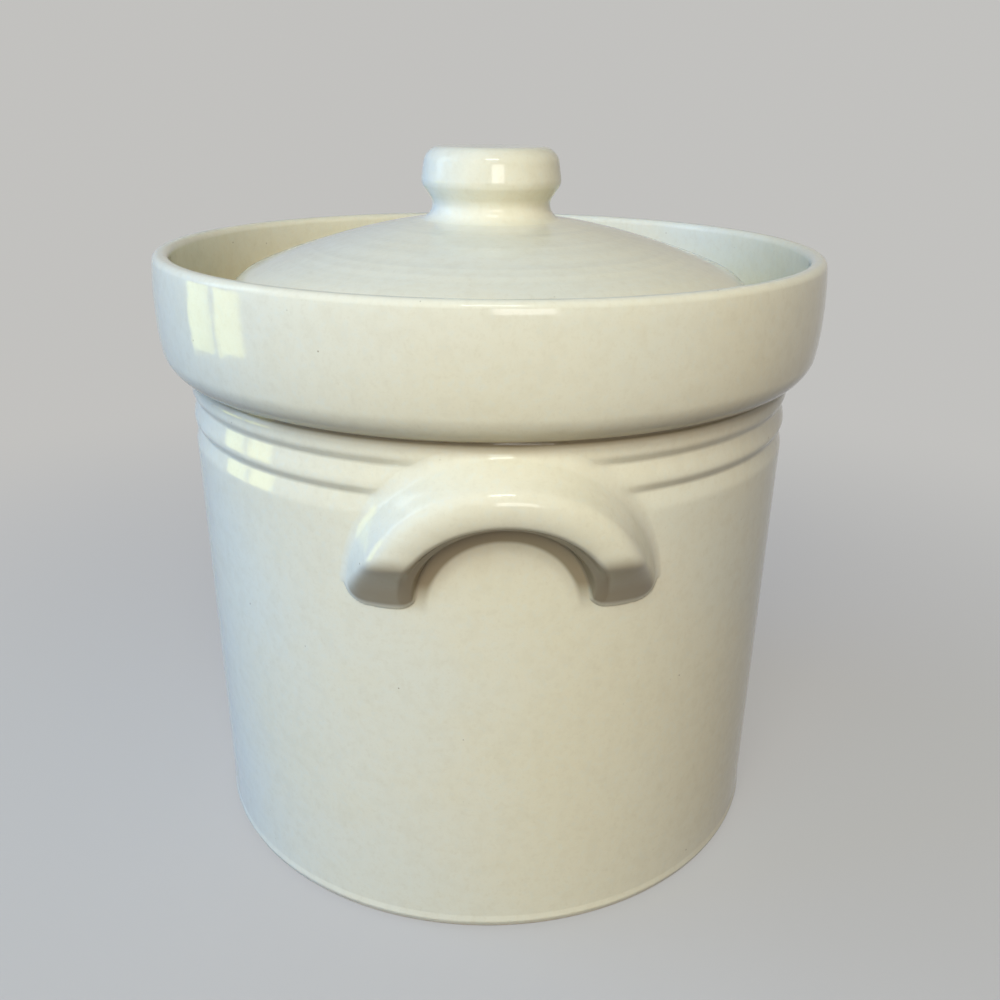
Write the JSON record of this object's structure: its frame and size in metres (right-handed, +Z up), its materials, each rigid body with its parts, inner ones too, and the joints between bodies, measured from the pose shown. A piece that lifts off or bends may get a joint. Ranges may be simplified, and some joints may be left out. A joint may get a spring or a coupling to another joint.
{
  "type": "storage canister",
  "caption": "Lidded stoneware storage canister: tapered round pot with a deep gallery collar, horseshoe lug handles and a domed drop-in lid with a waisted knob.",
  "frame": {"origin": "centre of the foot, on the surface the canister stands on", "axes": "+Z up along the pot's axis, -Y towards the front lug, +Y towards the back lug, +X to the right of the front lug"},
  "size_m": [0.1966, 0.2014, 0.2059],
  "materials": {
    "glaze": "semi-gloss cream glaze"
  },
  "bodies": {
    "canister": {"canister_body": "glaze", "handle_front": "glaze", "handle_back": "glaze"},
    "lid": {"lid": "glaze", "lid_knob": "glaze"}
  },
  "joints": [
    {"name": "lid_lift", "type": "slide", "parent": "canister", "child": "lid", "axis": [0, 0, 1], "range_m": [0, 0.06]}
  ]
}
